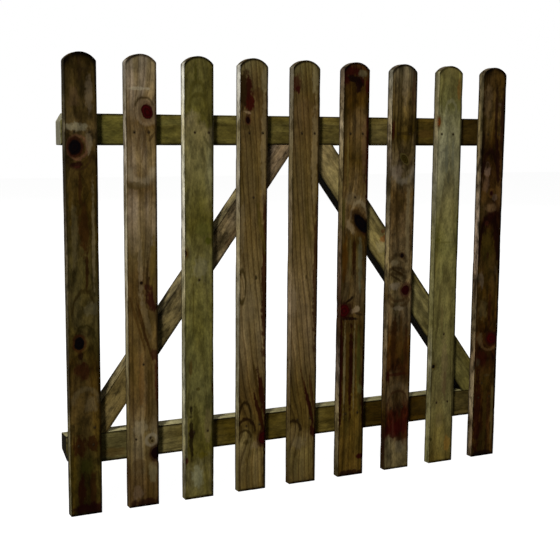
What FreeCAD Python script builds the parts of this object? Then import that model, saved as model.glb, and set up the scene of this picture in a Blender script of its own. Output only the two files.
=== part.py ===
import FreeCAD, Part
import math
import os

# A bare garden gate leaf: upright pales with round tops, nailed to two rails, and two braces
# that rise from the ends of the bottom rail and meet under the middle of the top rail.
# Millimetres. X runs along the width, the pales face -Y, Z is up.
# The origin is under the middle of the leaf, level with the feet of the pales.

# leaf
gateWidth = 1020.0          # over the outer edges of the two end pales
gateHeight = 900.0          # foot of a pale to the crown of its round top
paleCount = 9

# pales
paleWidth = 64.0
paleThickness = 20.0
crownRise = 17.0            # the round top above its shoulders
paleEdgeRound = 1.5

# rails, and the braces that lie in the same layer
railThickness = 35.0
railHeight = 61.0
railOverhang = 2.5          # past the outer edge of the end pale
topRailDrop = 114.0         # crown of the pales to the top of the top rail
bottomRailLift = 98.0       # feet of the pales to the underside of the bottom rail
railEdgeRound = 2.0
railClipLength = 10.0       # sawn-off corner of each rail end, along the rail
topRailClipHeight = 16.0    # and up its end: the outer top corner of the top rail
bottomRailClipHeight = 28.0  # and the outer bottom corner of the bottom rail

# braces
leftBraceWidth = 48.0
rightBraceWidth = 62.0
braceFootInset = 19.0       # lower edge of a brace's foot to the inner edge of the end pale
braceHeadShift = -7.5       # where the two heads meet, from the middle of the leaf
braceHeadGap = 11.0         # between the lower edges of the two heads
braceEdgeRound = 2.0

# nails
nailHeadDiameter = 5.6
nailHeadThickness = 1.2
nailShankDiameter = 2.8
nailPointLength = 4.0
nailBackCover = 10.0        # wood left behind the point
nailEdgeDistance = 17.0     # from each side of a pale, for a pair set in its middle
nailWander = 6.0            # how far hand nailing strays from there
topNailWander = [0.2, 0, 1, 0.8, 0.8, 0.2, 0, -1, 0]        # share of it, pale by pale
bottomNailWander = [0, -0.3, 0.5, 0.2, 0.3, 0.1, -0.5, 0.1, -0.3]
topNailHeight = 26.0        # above the underside of the top rail
bottomNailHeight = 44.0     # above the underside of the bottom rail
footNailHeight = 17.0       # above the top of the bottom rail, through the end pale into a brace

frontY = -(paleThickness + railThickness) / 2
railY = frontY + paleThickness
nailLength = paleThickness + railThickness - nailBackCover
palePitch = (gateWidth - paleWidth) / (paleCount - 1)
paleCentres = [(index - (paleCount - 1) / 2) * palePitch for index in range(paleCount)]
railHalfLength = gateWidth / 2 + railOverhang
topRailTop = gateHeight - topRailDrop
topRailUnderside = topRailTop - railHeight
bottomRailTop = bottomRailLift + railHeight


def board(corners, y, thickness):
    """A flat board: its outline in X and Z, from y backwards."""
    points = [FreeCAD.Vector(x, y, z) for x, z in corners]
    outline = Part.makePolygon(points + points[:1])
    return Part.Face(outline).extrude(FreeCAD.Vector(0, thickness, 0))


def easeLongEdges(shape, radius, shortest):
    edges = [edge for edge in shape.Edges if edge.Length > shortest]
    return shape.makeFillet(radius, edges)


def makePale(centreX):
    left, right = centreX - paleWidth / 2, centreX + paleWidth / 2
    shoulder = gateHeight - crownRise
    feet = [FreeCAD.Vector(left, frontY, 0), FreeCAD.Vector(right, frontY, 0)]
    shoulders = [FreeCAD.Vector(left, frontY, shoulder), FreeCAD.Vector(right, frontY, shoulder)]
    crown = FreeCAD.Vector(centreX, frontY, gateHeight)
    outline = Part.Wire([
        Part.makeLine(feet[0], feet[1]),
        Part.makeLine(feet[1], shoulders[1]),
        Part.Arc(shoulders[1], crown, shoulders[0]).toShape(),
        Part.makeLine(shoulders[0], feet[0]),
    ])
    blank = Part.Face(outline).extrude(FreeCAD.Vector(0, paleThickness, 0))
    return easeLongEdges(blank, paleEdgeRound, paleWidth * 1.01)


def makeRail(underside, clipHeight, clipAtTop):
    top = underside + railHeight
    end, clipped = railHalfLength, railHalfLength - railClipLength
    if clipAtTop:
        corners = [(-end, underside), (end, underside), (end, top - clipHeight),
                   (clipped, top), (-clipped, top), (-end, top - clipHeight)]
    else:
        corners = [(-end, underside + clipHeight), (-clipped, underside), (clipped, underside),
                   (end, underside + clipHeight), (end, top), (-end, top)]
    return easeLongEdges(board(corners, railY, railThickness), railEdgeRound, railHalfLength)


def braceLine(side):
    """Lower edge of a brace: x at the head and x at the foot. side is -1 left, 1 right."""
    head = braceHeadShift + side * braceHeadGap / 2
    foot = side * (gateWidth / 2 - paleWidth - braceFootInset)
    return head, foot


def braceRun(side, width):
    """Horizontal width of a brace, cut level at both ends."""
    head, foot = braceLine(side)
    rise = topRailUnderside - bottomRailTop
    return width * math.hypot(foot - head, rise) / rise


def braceX(side, width, share, z):
    """X at height z, share of the way from the lower edge (0) to the upper edge (1)."""
    head, foot = braceLine(side)
    down = (topRailUnderside - z) / (topRailUnderside - bottomRailTop)
    return head + (foot - head) * down + side * share * braceRun(side, width)


def braceZ(side, width, x):
    """Height of a brace's middle line at x."""
    head, foot = braceLine(side)
    middleHead = head + side * braceRun(side, width) / 2
    return topRailUnderside - (x - middleHead) / (foot - head) * (topRailUnderside - bottomRailTop)


def makeBrace(side, width):
    top, bottom = topRailUnderside, bottomRailTop
    corners = [(braceX(side, width, 0, bottom), bottom), (braceX(side, width, 0, top), top),
               (braceX(side, width, 1, top), top), (braceX(side, width, 1, bottom), bottom)]
    longest = math.hypot(corners[1][0] - corners[0][0], top - bottom)
    return easeLongEdges(board(corners, railY, railThickness), braceEdgeRound, longest / 2)


def makeNail(x, z):
    """A wire nail driven in from the front, its head flush with the pale."""
    head, shank = nailHeadDiameter / 2, nailShankDiameter / 2
    profile = [(0, 0), (head, 0), (head, nailHeadThickness), (shank, nailHeadThickness),
               (shank, nailLength - nailPointLength), (0, nailLength)]
    points = [FreeCAD.Vector(x + radius, frontY + depth, z) for radius, depth in profile]
    face = Part.Face(Part.makePolygon(points + points[:1]))
    return face.revolve(FreeCAD.Vector(x, frontY, z), FreeCAD.Vector(0, 1, 0), 360)


def railNails(height, wander):
    offset = paleWidth / 2 - nailEdgeDistance
    nails = []
    for index, centre in enumerate(paleCentres):
        middle = centre + nailWander * wander[index % len(wander)]
        nails += [makeNail(middle - offset, height), makeNail(middle + offset, height)]
    return nails


def braceNails(side, width):
    """One nail through each pale that crosses the brace, and one through the end pale."""
    nails = []
    for centre in paleCentres[1:-1]:
        z = braceZ(side, width, centre)
        reach = abs(centre - braceHeadShift)
        if centre * side > 0 and reach > palePitch / 2:
            nails.append(makeNail(centre, z))
    footZ = bottomRailTop + footNailHeight
    innerEdge = side * (gateWidth / 2 - paleWidth)
    nails.append(makeNail((innerEdge + braceX(side, width, 1, footZ)) / 2, footZ))
    return nails


def drilled(shape, nails):
    return shape.cut(nails)


nailGroups = {
    "top_rail_nails": railNails(topRailUnderside + topNailHeight, topNailWander),
    "bottom_rail_nails": railNails(bottomRailLift + bottomNailHeight, bottomNailWander),
    "left_brace_nails": braceNails(-1, leftBraceWidth),
    "right_brace_nails": braceNails(1, rightBraceWidth),
}
allNails = [nail for group in nailGroups.values() for nail in group]

parts = {}
for number, centre in enumerate(paleCentres, start=1):
    nearby = [nail for nail in allNails if abs(nail.CenterOfMass.x - centre) < paleWidth / 2]
    parts["pale_%d" % number] = drilled(makePale(centre), nearby)
parts["top_rail"] = drilled(
    makeRail(topRailUnderside, topRailClipHeight, clipAtTop=True), nailGroups["top_rail_nails"])
parts["bottom_rail"] = drilled(
    makeRail(bottomRailLift, bottomRailClipHeight, clipAtTop=False), nailGroups["bottom_rail_nails"])
parts["left_brace"] = drilled(makeBrace(-1, leftBraceWidth), nailGroups["left_brace_nails"])
parts["right_brace"] = drilled(makeBrace(1, rightBraceWidth), nailGroups["right_brace_nails"])
for name, nails in nailGroups.items():
    parts[name] = Part.makeCompound(nails)

os.makedirs("parts", exist_ok=True)
for name, shape in parts.items():
    shape.exportStep("parts/%s.step" % name)
    print(name, len(shape.Solids), "solid(s)", round(shape.Volume), "mm3", shape.isValid())
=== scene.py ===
import bpy
import math
from mathutils import Euler, Matrix, Vector


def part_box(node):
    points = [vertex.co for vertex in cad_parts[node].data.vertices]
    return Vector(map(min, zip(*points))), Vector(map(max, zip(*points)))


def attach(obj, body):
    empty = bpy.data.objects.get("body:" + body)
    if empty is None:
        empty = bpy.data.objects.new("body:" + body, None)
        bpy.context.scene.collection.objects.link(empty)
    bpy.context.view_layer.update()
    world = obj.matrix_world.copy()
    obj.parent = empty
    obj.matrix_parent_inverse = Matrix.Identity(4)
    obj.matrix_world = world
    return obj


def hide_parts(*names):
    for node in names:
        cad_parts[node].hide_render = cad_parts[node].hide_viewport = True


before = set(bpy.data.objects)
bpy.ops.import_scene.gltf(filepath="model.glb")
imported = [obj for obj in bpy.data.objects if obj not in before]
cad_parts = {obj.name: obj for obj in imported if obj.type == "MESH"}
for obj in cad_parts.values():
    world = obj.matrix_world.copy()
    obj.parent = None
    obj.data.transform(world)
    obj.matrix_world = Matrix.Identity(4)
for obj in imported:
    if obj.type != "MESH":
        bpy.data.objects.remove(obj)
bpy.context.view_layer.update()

mm = 0.001
tiny = 1e-6     # keeps a division clear of nought
print("frame loaded:", len(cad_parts), "nodes")


# small helpers for node trees

def paint(red, green, blue):
    # display colour 0-255 to the linear colour that sockets take
    shares = [value / 255 for value in (red, green, blue)]
    return (*[s / 12.92 if s <= 0.04045 else ((s + 0.055) / 1.055) ** 2.4 for s in shares], 1.0)


class Graph:
    def __init__(self, tree):
        self.tree = tree

    def feed(self, socket, value):
        if isinstance(value, bpy.types.NodeSocket):
            self.tree.links.new(value, socket)
        else:
            socket.default_value = value

    def node(self, kind, inputs=None, **settings):
        made = self.tree.nodes.new(kind)
        for name, value in settings.items():
            setattr(made, name, value)
        for name, value in (inputs or {}).items():
            self.feed(made.inputs[name], value)
        return made

    def group(self, tree, **inputs):
        # keyword names stand for socket names: ringWidth feeds "Ring Width"
        made = self.tree.nodes.new("ShaderNodeGroup")
        made.node_tree = tree
        for name, value in inputs.items():
            spaced = "".join(" " + letter if letter.isupper() else letter for letter in name)
            self.feed(made.inputs[spaced.title()], value)
        return made.outputs

    def calc(self, operation, *values):
        return self.node("ShaderNodeMath", dict(enumerate(values)), operation=operation).outputs[0]

    def add(self, a, b):
        return self.calc("ADD", a, b)

    def sub(self, a, b):
        return self.calc("SUBTRACT", a, b)

    def mul(self, a, b):
        return self.calc("MULTIPLY", a, b)

    def div(self, a, b):
        return self.calc("DIVIDE", a, b)

    def larger(self, a, b):
        return self.calc("MAXIMUM", a, b)

    def absolute(self, value):
        return self.calc("ABSOLUTE", value)

    def vector(self, operation, *values):
        made = self.node("ShaderNodeVectorMath", dict(enumerate(values)), operation=operation)
        return made.outputs["Value" if operation == "LENGTH" else "Vector"]

    def moved(self, vector, shift):
        return self.vector("ADD", vector, shift)

    def stretched(self, vector, factors):
        return self.vector("MULTIPLY", vector, factors)

    def scaled(self, vector, factor):
        made = self.node("ShaderNodeVectorMath", {0: vector, "Scale": factor}, operation="SCALE")
        return made.outputs["Vector"]

    def join(self, x, y, z):
        return self.node("ShaderNodeCombineXYZ", {0: x, 1: y, 2: z}).outputs[0]

    def split(self, vector):
        made = self.node("ShaderNodeSeparateXYZ", {0: vector})
        return made.outputs[0], made.outputs[1], made.outputs[2]

    def noise(self, vector, detail=2.0, rough=0.5):
        inputs = {"Vector": vector, "Scale": 1.0, "Detail": detail, "Roughness": rough}
        return self.node("ShaderNodeTexNoise", inputs).outputs[0]

    def ramp(self, value, low, high, start=0.0, end=1.0):
        inputs = {"Value": value, "From Min": low, "From Max": high, "To Min": start, "To Max": end}
        return self.node("ShaderNodeMapRange", inputs, interpolation_type="SMOOTHSTEP").outputs[0]

    def mix(self, share, a, b):
        return self.node("ShaderNodeMix", {0: share, 2: a, 3: b}, data_type="FLOAT").outputs[0]

    def tint(self, share, a, b, mode="MIX"):
        made = self.node("ShaderNodeMix", {0: share, 6: a, 7: b}, data_type="RGBA", blend_type=mode)
        return made.outputs[2]

    def darken(self, share, colour, shade):
        return self.tint(share, colour, shade, "MULTIPLY")


number, vector3, wholeNumber = "NodeSocketFloat", "NodeSocketVector", "NodeSocketInt"
geometry, finish = "NodeSocketGeometry", "NodeSocketMaterial"


def newGroup(name, kind, given, results):
    tree = bpy.data.node_groups.new(name, kind)
    for direction, sockets in (("INPUT", given), ("OUTPUT", results)):
        for label, socketType in sockets.items():
            tree.interface.new_socket(name=label, in_out=direction, socket_type=socketType)
    graph = Graph(tree)
    return tree, graph, graph.node("NodeGroupInput").outputs, graph.node("NodeGroupOutput").inputs


def newMaterial(name):
    material = bpy.data.materials.new(name)
    material.use_nodes = True
    material.node_tree.nodes.clear()
    return material, Graph(material.node_tree)


def finishTree(g, shape, entry, leave):
    real = g.node("GeometryNodeRealizeInstances", {"Geometry": shape})
    painted = g.node("GeometryNodeSetMaterial", {"Geometry": real.outputs[0], "Material": entry["Material"]})
    g.feed(leave["Geometry"], painted.outputs[0])


def grown(name, tree, values, source=None):
    # runs a Geometry Nodes tree once and keeps its result as a plain mesh
    holder = bpy.data.objects.new(name + "_maker", source or bpy.data.meshes.new(name + "_maker"))
    bpy.context.scene.collection.objects.link(holder)
    modifier = holder.modifiers.new("nodes", "NODES")
    modifier.node_group = tree
    for item in tree.interface.items_tree:
        if item.in_out == "INPUT" and item.name in values:
            modifier[item.identifier] = values[item.name]
    depsgraph = bpy.context.evaluated_depsgraph_get()
    mesh = bpy.data.meshes.new_from_object(holder.evaluated_get(depsgraph), depsgraph=depsgraph)
    holder.modifiers.remove(modifier)
    bpy.data.objects.remove(holder)
    mesh.name = name
    piece = bpy.data.objects.new(name, mesh)
    bpy.context.scene.collection.objects.link(piece)
    return piece


# where each board lies, from the frame

boardSizes = {
    "crown rise": 17 * mm,              # the round top above its shoulders
    "rail clip length": 10 * mm,        # sawn-off corners of the rail ends
    "top rail clip height": 16 * mm,
    "bottom rail clip height": 28 * mm,
    "brace foot inset": 19 * mm,        # lower edge of a brace's foot to the inner edge of the end pale
    "brace end hold": 2.5 * mm,         # how far a brace goes on into the rails, so that no light shows
    "joined sway": 0.3 * mm,            # waver of the rails and braces, which meet face to face
}
boardCells = {                          # across, deep and along
    "pale": (36, 10, 340), "rail": (36, 16, 380), "left_brace": (32, 16, 280), "right_brace": (36, 16, 280),
}


def paleBoard(node):
    low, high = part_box(node)
    size = high - low
    x, y, z = (low + high) / 2
    foot = size.z / 2
    return {
        "size": tuple(size), "place": (x, y, z), "origin": (x, y, z - foot), "turn": (0.0, 0.0, 0.0),
        "foot": foot, "cells": boardCells["pale"], "slot": "pale_wood",
        "shape": {"Crown Rise": boardSizes["crown rise"]},
    }


def railBoard(node, clipHeight, clipSide):
    low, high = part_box(node)
    size = high - low
    middle = tuple((low + high) / 2)
    return {
        "size": (size.z, size.y, size.x), "place": middle, "origin": middle, "turn": (0.0, math.pi / 2, 0.0),
        "foot": 0.0, "cells": boardCells["rail"], "slot": "rail_wood",
        "shape": {"Clip Length": boardSizes["rail clip length"], "Clip Height": clipHeight,
                  "Clip Side": clipSide, "Clip Start": 1.0, "Sway": boardSizes["joined sway"]},
    }


def braceBoard(node, side):
    # the lower edge runs from the foot inset to the head; both ends are cut level
    low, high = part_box(node)
    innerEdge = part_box("pale_1")[1].x if side < 0 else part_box("pale_9")[0].x
    lowerFoot = innerEdge - side * boardSizes["brace foot inset"]
    lowerHead = high.x if side < 0 else low.x
    upperFoot = low.x if side < 0 else high.x
    reach, rise = lowerHead - lowerFoot, high.z - low.z
    lean = math.atan2(reach, rise)
    width = abs(upperFoot - lowerFoot) * math.cos(lean)
    length = (rise + 2 * boardSizes["brace end hold"]) / math.cos(lean)
    middleX = (lowerFoot + lowerHead) / 2 + (upperFoot - lowerFoot) / 2
    middle = (middleX, (low.y + high.y) / 2, (low.z + high.z) / 2)
    return {
        "size": (width, high.y - low.y, length), "place": middle, "origin": middle, "turn": (0.0, lean, 0.0),
        "foot": 0.0, "cells": boardCells[node], "slot": "brace_wood",
        "shape": {"End Slope": math.tan(lean), "Sway": boardSizes["joined sway"]},
    }


boards = {}
for count in range(1, 10):
    boards["pale_%d" % count] = paleBoard("pale_%d" % count)
boards["top_rail"] = railBoard("top_rail", boardSizes["top rail clip height"], -1.0)
boards["bottom_rail"] = railBoard("bottom_rail", boardSizes["bottom rail clip height"], 1.0)
boards["left_brace"] = braceBoard("left_brace", -1)
boards["right_brace"] = braceBoard("right_brace", 1)


# board shape, grown by Geometry Nodes

boardFinish = {
    "Edge Radius": 1.5 * mm,
    "Edge Wear": 1.3 * mm,      # how much rounder the arris gets where it is knocked
    "Sway": 0.9 * mm,           # slow waver of the long faces
    "Relief": 0.3 * mm,         # raised grain
    "Knot Hollow": 0.9 * mm,
}
boardRepeats = {"wear": 24.0, "sway": 5.0, "grain": (260.0, 260.0, 7.0)}      # per metre
knotLabels = ("Knot A", "Knot B", "Knot C")
nowhere = (9.0, 9.0, 1 * mm)    # place and radius of a knot that a board doesn't have


def buildBoardTree():
    tree, g, entry, leave = newGroup("board", "GeometryNodeTree", {
        "Width": number, "Thickness": number, "Length": number,
        "Cells Across": wholeNumber, "Cells Deep": wholeNumber, "Cells Along": wholeNumber,
        "Crown Rise": number, "End Slope": number,
        "Clip Length": number, "Clip Height": number, "Clip Side": number, "Clip Start": number,
        **dict.fromkeys(boardFinish, number), **dict.fromkeys(knotLabels, vector3),
        "Seed": number, "Place": vector3, "Turn": vector3, "Material": finish}, {"Geometry": geometry})
    cube = g.node("GeometryNodeMeshCube", {
        "Size": (2.0, 2.0, 2.0), "Vertices X": entry["Cells Across"],
        "Vertices Y": entry["Cells Deep"], "Vertices Z": entry["Cells Along"]})

    # crowd the cells towards the arrises, so that a small radius comes out round
    crowded = []
    for axis, value in enumerate(g.split(g.node("GeometryNodeInputPosition").outputs[0])):
        bent = g.mul(value, g.sub(1.5, g.mul(0.5, g.mul(value, value))))
        crowded.append(g.mix(0.3 if axis == 2 else 1.0, value, bent))
    half = g.scaled(g.join(entry["Width"], entry["Thickness"], entry["Length"]), 0.5)
    box = g.stretched(g.join(*crowded), half)

    # eased edges, with a radius that varies along each one
    seedShift = g.join(entry["Seed"], g.mul(entry["Seed"], 1.7), g.mul(entry["Seed"], 0.6))
    corner = g.scaled(g.vector("SIGN", box), 3.0)
    wearPlace = g.moved(g.stretched(box, (0.0, 0.0, boardRepeats["wear"])), g.moved(corner, seedShift))
    wear = g.mul(entry["Edge Wear"], g.ramp(g.noise(wearPlace, 3.0), 0.5, 0.75))
    radius = g.add(entry["Edge Radius"], wear)
    room = g.vector("SUBTRACT", half, g.join(radius, radius, radius))
    inner = g.vector("MAXIMUM", g.vector("MINIMUM", box, room), g.scaled(room, -1.0))
    outward = g.vector("NORMALIZE", g.vector("SUBTRACT", box, inner))
    x, y, z = g.split(g.moved(inner, g.scaled(outward, radius)))

    # both ends: cut at a slope, clipped at a corner, and the far one crowned
    halfWidth, halfThickness, halfLength = g.split(half)
    zone = g.sub(g.mul(x, entry["Clip Side"]), g.sub(halfWidth, entry["Clip Height"]))
    clipShare = g.div(g.larger(zone, 0.0), g.larger(entry["Clip Height"], tiny))
    clip = g.mul(entry["Clip Length"], clipShare)
    rise = g.larger(entry["Crown Rise"], tiny)
    crownRadius = g.div(g.add(g.mul(halfWidth, halfWidth), g.mul(rise, rise)), g.mul(rise, 2.0))
    crown = g.sub(crownRadius, g.calc("SQRT", g.sub(g.mul(crownRadius, crownRadius), g.mul(x, x))))
    slope = g.mul(entry["End Slope"], x)
    top = g.sub(g.sub(g.add(halfLength, slope), clip), crown)
    bottom = g.add(g.sub(slope, halfLength), g.mul(clip, entry["Clip Start"]))
    shaped = g.join(x, y, g.mix(g.add(g.div(z, g.mul(halfLength, 2.0)), 0.5), bottom, top))

    # waver, raised grain and hollows round the knots, all of them inwards
    along = g.split(shaped)[2]
    swayPlace = g.join(0.0, 0.0, g.mul(along, boardRepeats["sway"]))
    swayPlace = g.moved(swayPlace, g.moved(g.scaled(outward, 0.8), seedShift))
    sway = g.mul(entry["Sway"], g.ramp(g.noise(swayPlace, 3.0), 0.3, 0.7))
    grainPlace = g.moved(g.stretched(shaped, boardRepeats["grain"]), seedShift)
    inwards = g.add(sway, g.mul(entry["Relief"], g.noise(grainPlace)))
    for label in knotLabels:
        knotX, knotZ, knotRadius = g.split(entry[label])
        off = g.join(g.sub(x, knotX), 0.0, g.mul(g.sub(along, knotZ), 0.8))
        distance = g.div(g.vector("LENGTH", off), knotRadius)
        hollow = g.sub(g.ramp(distance, 1.5, 0.95), g.mul(0.6, g.ramp(distance, 0.85, 0.3)))
        inwards = g.add(inwards, g.mul(entry["Knot Hollow"], hollow))
    pushed = g.vector("SUBTRACT", shaped, g.scaled(g.stretched(outward, (1.0, 1.0, 0.25)), inwards))

    moved = g.node("GeometryNodeSetPosition", {"Geometry": cube.outputs["Mesh"], "Position": pushed})
    smooth = g.node("GeometryNodeSetShadeSmooth", {"Geometry": moved.outputs[0]})
    placed = g.node("GeometryNodeTransform", {
        "Geometry": smooth.outputs[0], "Translation": entry["Place"], "Rotation": entry["Turn"]})
    finishTree(g, placed.outputs[0], entry, leave)
    return tree


# shader groups that the woods share

pithDrift = 16 * mm     # how far the middle of the rings wanders along a board


def buildRingGroup():
    # yearly rings about a pith that leans away from the board, so that the faces show arches
    tree, g, entry, leave = newGroup("yearRings", "ShaderNodeTree", {
        "Vector": vector3, "Pith X": number, "Pith Y": number, "Lean X": number, "Lean Y": number,
        "Ring Width": number, "Waver": number, "Lift": number, "Seed": number},
        {"Late": number, "Band": number, "Flow": number})
    x, y, z = g.split(entry["Vector"])
    seed = entry["Seed"]
    drift = g.mul(g.sub(g.noise(g.join(g.mul(z, 3.0), seed, 0.0), 1.0), 0.5), pithDrift)
    pithX = g.add(g.add(entry["Pith X"], g.mul(entry["Lean X"], z)), drift)
    pithY = g.add(entry["Pith Y"], g.mul(entry["Lean Y"], z))
    waverPlace = g.join(g.mul(x, 26.0), g.mul(y, 26.0), g.add(g.mul(z, 5.0), seed))
    waver = g.mul(g.sub(g.noise(waverPlace, 2.0), 0.5), entry["Waver"])
    distance = g.vector("LENGTH", g.join(g.sub(x, pithX), g.sub(y, pithY), 0.0))
    flow = g.add(g.add(distance, waver), entry["Lift"])
    place = g.div(flow, entry["Ring Width"])
    uneven = g.add(place, g.noise(g.join(g.mul(place, 0.55), seed, 0.0), 1.0))
    share = g.calc("FRACT", uneven)
    rise = g.add(g.mul(g.ramp(share, 0.1, 0.8), 0.2), g.mul(g.ramp(share, 0.58, 0.86), 0.8))
    g.feed(leave["Late"], g.mul(rise, g.ramp(share, 1.0, 0.92)))
    g.feed(leave["Band"], g.noise(g.join(g.mul(flow, 80.0), g.mul(z, 1.2), seed), 1.0))
    g.feed(leave["Flow"], flow)
    return tree


def turnedOff(g, entry):
    # how far a point lies from the spot, across and along it
    x, y, z = g.split(g.vector("SUBTRACT", entry["Vector"], entry["Place"]))
    cosine, sine = g.calc("COSINE", entry["Tilt"]), g.calc("SINE", entry["Tilt"])
    return g.sub(g.mul(x, cosine), g.mul(z, sine)), g.add(g.mul(x, sine), g.mul(z, cosine))


def buildKnotGroup():
    # masks for a knot's core, rim, halo and lines, and the lift that bends the rings round it
    tree, g, entry, leave = newGroup("knot", "ShaderNodeTree", {
        "Vector": vector3, "Place": vector3, "Radius": number, "Stretch": number, "Tilt": number,
        "Rag": number}, {"Lift": number, "Core": number, "Rim": number, "Halo": number, "Grain": number})
    across, along = turnedOff(g, entry)
    flat = g.div(g.vector("LENGTH", g.join(across, 0.0, g.div(along, entry["Stretch"]))), entry["Radius"])
    distance = g.add(flat, g.mul(entry["Rag"], 0.55))
    spread = g.add(1.0, g.mul(0.16, g.mul(flat, flat)))
    g.feed(leave["Lift"], g.div(1.0, g.mul(spread, spread)))
    g.feed(leave["Core"], g.ramp(distance, 1.02, 0.8))
    g.feed(leave["Rim"], g.mul(g.ramp(distance, 0.7, 1.0), g.ramp(distance, 1.45, 1.05)))
    g.feed(leave["Halo"], g.ramp(distance, 2.4, 0.9))
    g.feed(leave["Grain"], g.ramp(g.calc("FRACT", g.mul(distance, 2.2)), 0.3, 0.9))
    return tree


def buildStainGroup():
    # a ragged oval patch with soft borders, or with Rim above zero only its border
    tree, g, entry, leave = newGroup("stain", "ShaderNodeTree", {
        "Vector": vector3, "Place": vector3, "Size": vector3, "Tilt": number, "Rag": number, "Rim": number,
        "Half": number}, {"Mask": number})
    across, along = turnedOff(g, entry)
    sizeX, sizeY, sizeZ = g.split(entry["Size"])
    far = g.div(along, sizeZ)
    flat = g.vector("LENGTH", g.join(g.div(across, sizeX), 0.0, far))
    patch = g.ramp(g.add(flat, g.mul(entry["Rag"], 1.4)), 1.1, 0.6)
    fromRim = g.absolute(g.sub(g.add(flat, g.mul(entry["Rag"], 0.35)), 1.0))
    whole = g.sub(1.0, g.absolute(entry["Half"]))
    kept = g.ramp(g.mul(far, entry["Half"]), -0.3, 0.1, whole, 1.0)
    border = g.mul(g.ramp(fromRim, entry["Rim"], g.mul(entry["Rim"], 0.2)), kept)
    g.feed(leave["Mask"], g.mix(g.calc("GREATER_THAN", entry["Rim"], 0.0), patch, border))
    return tree


# repeats per metre across and along the grain, then the detail and roughness of the noise
ringPatterns = {"Fine": (420.0, 14.0, 4.0, 0.65), "Streak": (130.0, 3.5, 3.0, 0.55)}
boardPatterns = {
    "Blotch": (26.0, 12.0, 4.0, 0.6), "Mottle": (75.0, 34.0, 5.0, 0.65), "Speck": (330.0, 170.0, 3.0, 0.6),
}


def buildFibreGroup():
    # fibres, streaks, hues and hair cracks follow the rings; blotches, mottle and specks only the board
    labels = (*ringPatterns, *boardPatterns, "Crack", "Hue")
    tree, g, entry, leave = newGroup("fibre", "ShaderNodeTree", {
        "Vector": vector3, "Flow": number, "Seed": number}, dict.fromkeys(labels, number))
    seedShift = g.join(entry["Seed"], g.mul(entry["Seed"], 0.37), g.mul(entry["Seed"], 0.7))
    x, y, z = g.split(entry["Vector"])

    def alongRings(across, along):
        followed = g.join(g.mul(entry["Flow"], across), g.mul(x, across * 0.3), g.mul(z, along))
        return g.moved(followed, seedShift)

    for label, (across, along, detail, rough) in ringPatterns.items():
        g.feed(leave[label], g.noise(alongRings(across, along), detail, rough))
    for label, (across, along, detail, rough) in boardPatterns.items():
        drawnOut = g.moved(g.stretched(entry["Vector"], (across, across, along)), seedShift)
        g.feed(leave[label], g.noise(drawnOut, detail, rough))
    g.feed(leave["Hue"], g.noise(g.moved(alongRings(48.0, 5.0), (7.0, 0.0, 0.0)), 1.0))
    lines = g.noise(alongRings(240.0, 4.0))
    g.feed(leave["Crack"], g.ramp(g.absolute(g.sub(lines, 0.62)), 0.012, 0.0))
    return tree


def buildNailMarkGroup():
    # the dark marks that a pair of nails, or one nail, leaves in the wood
    tree, g, entry, leave = newGroup("nailMark", "ShaderNodeTree", {
        "Vector": vector3, "Middle": vector3, "Spread": number, "Radius": number}, {"Mask": number})
    x, y, z = g.split(g.vector("SUBTRACT", entry["Vector"], entry["Middle"]))
    off = g.join(g.sub(g.absolute(x), entry["Spread"]), 0.0, g.mul(z, 0.8))
    g.feed(leave["Mask"], g.ramp(g.div(g.vector("LENGTH", off), entry["Radius"]), 1.5, 0.8))
    return tree


boardTree = buildBoardTree()
ringGroup, knotGroup, stainGroup = buildRingGroup(), buildKnotGroup(), buildStainGroup()
fibreGroup, nailMarkGroup = buildFibreGroup(), buildNailMarkGroup()
print("node trees built")


# what each board looks like, in millimetres from the middle of its width and from its foot

def knot(x, z, radius, stretch=1.3, tilt=0, core=(14, 8, 4), rim=(58, 26, 10), bend=9, hollow=False):
    return {"at": (x, z), "radius": radius, "stretch": stretch, "tilt": tilt,
            "core": core, "rim": rim, "bend": bend, "hollow": hollow, "buried": False}


def swirl(x, z, radius, stretch=1.6, tilt=0, bend=9):
    # grain that bends round a knot lying under the face
    return {**knot(x, z, radius, stretch, tilt, bend=bend), "buried": True}


def stain(x, z, halfWidth, halfHeight, colour, amount=0.7, tilt=0):
    return {"at": (x, z), "size": (halfWidth, halfHeight), "colour": colour, "amount": amount, "tilt": tilt,
            "rim": 0.0, "half": 0}


def arch(x, z, halfWidth, halfHeight, rim, colour, amount=0.7, half=0):
    # only the border of an oval; half 1 keeps its upper part, -1 its lower part
    return {**stain(x, z, halfWidth, halfHeight, colour, amount), "rim": rim, "half": half}


# "tones" for a board's face and "side" for its sawn sides: a height and the colour there; the side colours
# are partly painted light, lighter where the key lamp falls on the left sides
woodBasics = {
    "pith": (6, 34), "lean": (0.0, 0.03),       # the middle of the rings, and its slant along the board
    "ring width": 6.5, "waver": 6,
    "late": 0.5, "late shade": (128, 104, 70),  # the dark late wood of each ring
    "band": 0.5, "streak": 0.12, "fine": 0.1, "mottle": 0.45, "hue": 0.7,
    "blotch": 0.35, "blotch colour": (46, 38, 10),
    "edge shade": (0.55, 0.85),         # painted shade and grime on the left and right arrises, stronger on the right, away from the key light
    "crown border": 7,                  # how far it comes down from the crown
    "side patches": 0.5,                # how much of the face's dirt the sawn sides have
    "end": (64, 52, 30), "knots": [], "stains": [],
}
boardWoods = {}

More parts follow.
